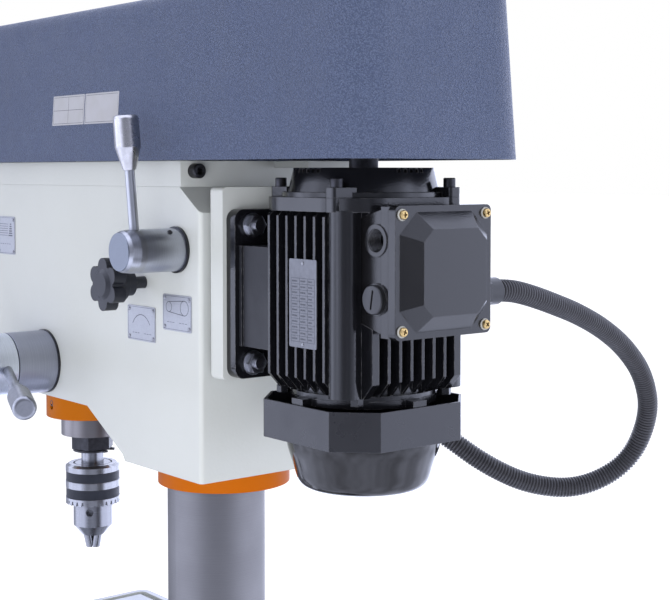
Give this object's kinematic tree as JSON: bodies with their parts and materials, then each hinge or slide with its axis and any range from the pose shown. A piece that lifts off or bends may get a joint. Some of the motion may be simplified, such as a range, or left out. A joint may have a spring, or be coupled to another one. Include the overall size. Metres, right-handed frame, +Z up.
{
  "type": "bench drill",
  "caption": "Belt-driven bench drill: finned motor behind a painted head, hinged belt hood, quill feed with lever hub, keyed chuck, tilting table on a rack column and cast base",
  "frame": {"origin": "on the bench plane under the column's axis, in the middle of the base's column pad", "axes": "+Z up along the column; -Y toward the operator; +X to the operator's right, the feed-lever side"},
  "size_m": [0.5385, 0.687, 1.025],
  "materials": {
    "head_paint": "satin off-white paint",
    "hood_paint": "slate blue-grey orange-peel paint",
    "black_paint": "satin black paint",
    "gloss_black": "gloss black paint",
    "orange_paint": "orange paint",
    "steel": "turned",
    "dark_steel": "blackened",
    "chrome": "polished",
    "cast_iron": "machined grey iron",
    "aluminium": "turned",
    "black_plastic": "moulded",
    "grip_plastic": "moulded",
    "rubber": "moulded",
    "green_plastic": "moulded",
    "red_plastic": "moulded"
  },
  "bodies": {
    "stand": {"base_plate": "hood_paint", "column_foot": "hood_paint", "column": "steel", "head_casting": "head_paint", "belt_platform": "head_paint", "spring_cup": "black_plastic", "feed_sleeve": "dark_steel", "sleeve_bearings": "steel", "v_belt": "rubber", "hinge_brackets": "dark_steel", "switch_box": "black_plastic", "switch_gland": "black_plastic"},
    "rack_swing": {"lift_rack": "steel", "column_collar": "orange_paint"},
    "table_carrier": {"table_arm": "head_paint", "tilt_bolt": "dark_steel"},
    "table": {"table": "cast_iron"},
    "table_clamp": {"table_clamp": "chrome"},
    "crank": {"crank": "steel"},
    "crank_grip": {"crank_grip": "black_plastic"},
    "hood": {"belt_hood": "hood_paint", "hinge_leaves": "dark_steel"},
    "quill": {"quill": "steel", "quill_ring": "orange_paint", "spindle_bearings": "steel"},
    "spindle": {"spindle": "steel", "ejector_nut": "dark_steel", "chuck_arbor": "dark_steel", "chuck_body": "steel"},
    "chuck_sleeve": {"chuck_sleeve": "chrome"},
    "chuck_jaw_1": {"chuck_jaw_1": "steel"},
    "chuck_jaw_2": {"chuck_jaw_2": "steel"},
    "chuck_jaw_3": {"chuck_jaw_3": "steel"},
    "spindle_drive": {"spindle_pulley": "aluminium"},
    "feed": {"feed_shaft": "steel", "feed_hub": "steel", "feed_levers": "chrome", "feed_grips": "aluminium"},
    "motor_carriage": {"motor_bracket": "head_paint", "slide_bars": "steel", "motor_plate": "black_paint", "plate_bolts": "steel", "motor_frame": "black_paint", "drive_shield": "black_paint", "tail_shield": "black_paint", "cowl_skirt": "black_paint", "cowl_bowl": "gloss_black", "stator": "dark_steel", "terminal_box": "black_paint", "terminal_cover": "black_paint", "conduit_gland": "black_plastic", "conduit": "black_plastic"},
    "tension": {"tension_shaft": "steel", "tension_lever": "steel", "tension_grip": "aluminium"},
    "slide_lock": {"lock_knob": "black_plastic"},
    "rotor": {"motor_shaft": "dark_steel", "motor_pulley": "aluminium"},
    "start_button": {"start_button": "green_plastic"},
    "stop_button": {"stop_button": "red_plastic"}
  },
  "joints": [
    {"name": "table_swing", "type": "hinge", "parent": "stand", "child": "rack_swing", "pos_m": [0, 0, 0.302], "axis": [0, 0, 1], "range_deg": [-90, 90]},
    {"name": "table_lift", "type": "slide", "parent": "rack_swing", "child": "table_carrier", "axis": [0, 0, -1], "range_m": [-0.06, 0.12]},
    {"name": "table_tilt", "type": "hinge", "parent": "table_carrier", "child": "table", "pos_m": [0, -0.105, 0.302], "axis": [0, 1, 0], "range_deg": [-45, 45]},
    {"name": "table_clamp_turn", "type": "hinge", "parent": "table_carrier", "child": "table_clamp", "pos_m": [0.076, 0, 0.302], "axis": [0, 1, 0], "range_deg": [-40, 40]},
    {"name": "crank_turn", "type": "hinge", "parent": "table_carrier", "child": "crank", "pos_m": [-0.06381, -0.02322, 0.302], "axis": [-0.342, 0.9397, 0], "range_deg": [-580, 295]},
    {"name": "crank_grip_spin", "type": "hinge", "parent": "crank", "child": "crank_grip", "pos_m": [-0.09801, 0.07075, 0.21], "axis": [-0.342, 0.9397, 0], "continuous": true},
    {"name": "hood_open", "type": "hinge", "parent": "stand", "child": "hood", "pos_m": [-0.105, 0, 0.875], "axis": [0, -1, 0], "range_deg": [0, 95]},
    {"name": "quill_feed", "type": "slide", "parent": "stand", "child": "quill", "axis": [0, 0, -1], "range_m": [0, 0.085], "stiffness_N_per_m": 200, "springref_m": -0.5},
    {"name": "spindle_spin", "type": "hinge", "parent": "quill", "child": "spindle", "pos_m": [0, -0.237, 0.6], "axis": [0, 0, 1], "continuous": true},
    {"name": "chuck_turn", "type": "hinge", "parent": "spindle", "child": "chuck_sleeve", "pos_m": [0, -0.237, 0.53], "axis": [0, 0, 1], "range_deg": [0, 3160]},
    {"name": "drive_spin", "type": "hinge", "parent": "stand", "child": "spindle_drive", "pos_m": [0, -0.237, 0.9], "axis": [0, 0, 1], "continuous": true},
    {"name": "feed_turn", "type": "hinge", "parent": "stand", "child": "feed", "pos_m": [0, -0.194, 0.678], "axis": [1, 0, 0], "range_deg": [-1, 376]},
    {"name": "motor_slide", "type": "slide", "parent": "stand", "child": "motor_carriage", "axis": [0, 1, 0], "range_m": [-0.0055, 0]},
    {"name": "tension_turn", "type": "hinge", "parent": "stand", "child": "tension", "pos_m": [0, 0.054, 0.802], "axis": [1, 0, 0], "range_deg": [-23, 0.5]},
    {"name": "lock_turn", "type": "hinge", "parent": "stand", "child": "slide_lock", "pos_m": [0.1, -0.0018, 0.77], "axis": [1, 0, 0], "range_deg": [0, 300]},
    {"name": "motor_spin", "type": "hinge", "parent": "motor_carriage", "child": "rotor", "pos_m": [0, 0.216, 0.8], "axis": [0, 0, 1], "continuous": true},
    {"name": "start_press", "type": "slide", "parent": "stand", "child": "start_button", "axis": [0, 1, 0], "range_m": [0, 0.004], "stiffness_N_per_m": 600, "springref_m": -0.002},
    {"name": "stop_press", "type": "slide", "parent": "stand", "child": "stop_button", "axis": [0, 1, 0], "range_m": [0, 0.004], "stiffness_N_per_m": 600, "springref_m": -0.002},
    {"name": "jaw_1_slide", "type": "slide", "parent": "spindle", "child": "chuck_jaw_1", "axis": [0.2054, -0.0325, 0.9781], "range_m": [0, 0.022]},
    {"name": "jaw_2_slide", "type": "slide", "parent": "spindle", "child": "chuck_jaw_2", "axis": [-0.0745, 0.1941, 0.9781], "range_m": [0, 0.022]},
    {"name": "jaw_3_slide", "type": "slide", "parent": "spindle", "child": "chuck_jaw_3", "axis": [-0.1308, -0.1616, 0.9781], "range_m": [0, 0.022]}
  ],
  "couplings": [
    {"joint": "crank_turn", "follows": "table_lift", "rad_per_m": -83.333},
    {"joint": "feed_turn", "follows": "quill_feed", "rad_per_m": 76.923},
    {"joint": "tension_turn", "follows": "motor_slide", "rad_per_m": 71.429},
    {"joint": "spindle_spin", "follows": "motor_spin", "ratio": 0.7037},
    {"joint": "drive_spin", "follows": "motor_spin", "ratio": 0.7037},
    {"joint": "jaw_1_slide", "follows": "chuck_turn", "m_per_rad": 0.000398},
    {"joint": "jaw_2_slide", "follows": "chuck_turn", "m_per_rad": 0.000398},
    {"joint": "jaw_3_slide", "follows": "chuck_turn", "m_per_rad": 0.000398}
  ]
}
